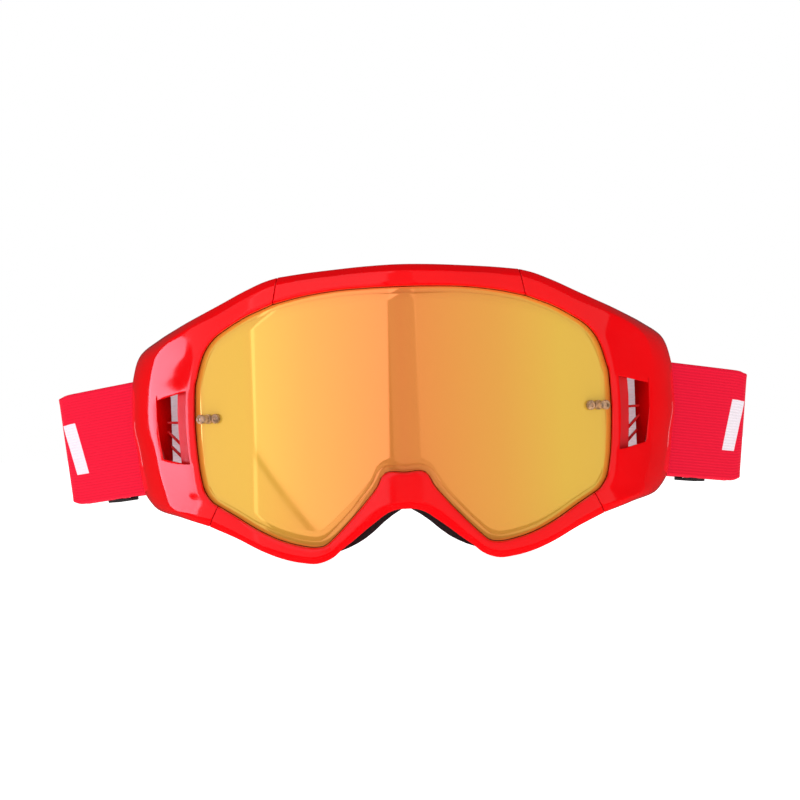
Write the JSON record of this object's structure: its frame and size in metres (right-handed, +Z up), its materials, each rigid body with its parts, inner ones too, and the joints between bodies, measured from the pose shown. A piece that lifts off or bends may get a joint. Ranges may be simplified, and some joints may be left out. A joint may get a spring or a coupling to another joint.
{
  "type": "motorcycle goggles",
  "caption": "Motocross goggles: glossy curved frame with outriggers, mirrored cylindrical lens with tear-off posts, layered face foam and an elastic strap with sliders.",
  "frame": {"origin": "middle of the face seat: on the centre plane, level with the tear-off posts, midway in depth along the fleece that meets the face", "axes": "+X to the wearer's left, +Y from the lens towards the face, +Z up"},
  "size_m": [0.2546, 0.1246, 0.0957],
  "materials": {
    "red_gloss": "high gloss moulded",
    "red_flex": "satin flexible moulding",
    "gold_mirror": "mirror coated polycarbonate",
    "seal": "matte",
    "foam": "open-cell foam",
    "fleece": "brushed fleece",
    "posts": "smoky clear",
    "steel": "drawn",
    "strap_red": "woven elastic",
    "slider_black": "fine texture"
  },
  "bodies": {
    "frame": {"face_frame": "red_flex", "brow_shell": "red_gloss", "lower_shell": "red_gloss", "outrigger_left": "red_gloss", "outrigger_right": "red_gloss", "strap_bar_left": "steel", "strap_bar_right": "steel", "vent_foam_top": "foam", "vent_foam_lower_left": "foam", "vent_foam_lower_right": "foam", "lens_seal": "seal", "foam_base": "foam", "foam_soft": "foam", "fleece_liner": "fleece", "strap_end_left": "strap_red", "strap_end_right": "strap_red", "strap_side_left": "strap_red", "strap_side_right": "strap_red"},
    "lens_unit": {"lens": "gold_mirror", "tearoff_posts_left": "posts", "tearoff_posts_right": "posts"},
    "strap_rear": {"strap_back": "strap_red"},
    "slider_left": {"strap_slider_left": "slider_black"},
    "slider_right": {"strap_slider_right": "slider_black"}
  },
  "joints": [
    {"name": "lens_release", "type": "slide", "parent": "frame", "child": "lens_unit", "axis": [0, -1, 0], "range_m": [0, 0.03]},
    {"name": "strap_stretch", "type": "slide", "parent": "frame", "child": "strap_rear", "axis": [0, 1, 0], "range_m": [0, 0.04], "stiffness_N_per_m": 150, "deforming": ["strap_side_left", "strap_side_right"]},
    {"name": "slider_left_adjust", "type": "slide", "parent": "frame", "child": "slider_left", "axis": [-0.7046, 0.7046, -0.0837], "range_m": [-0.016, 0.004]},
    {"name": "slider_right_adjust", "type": "slide", "parent": "frame", "child": "slider_right", "axis": [0.7046, 0.7046, -0.0837], "range_m": [-0.016, 0.004]}
  ]
}
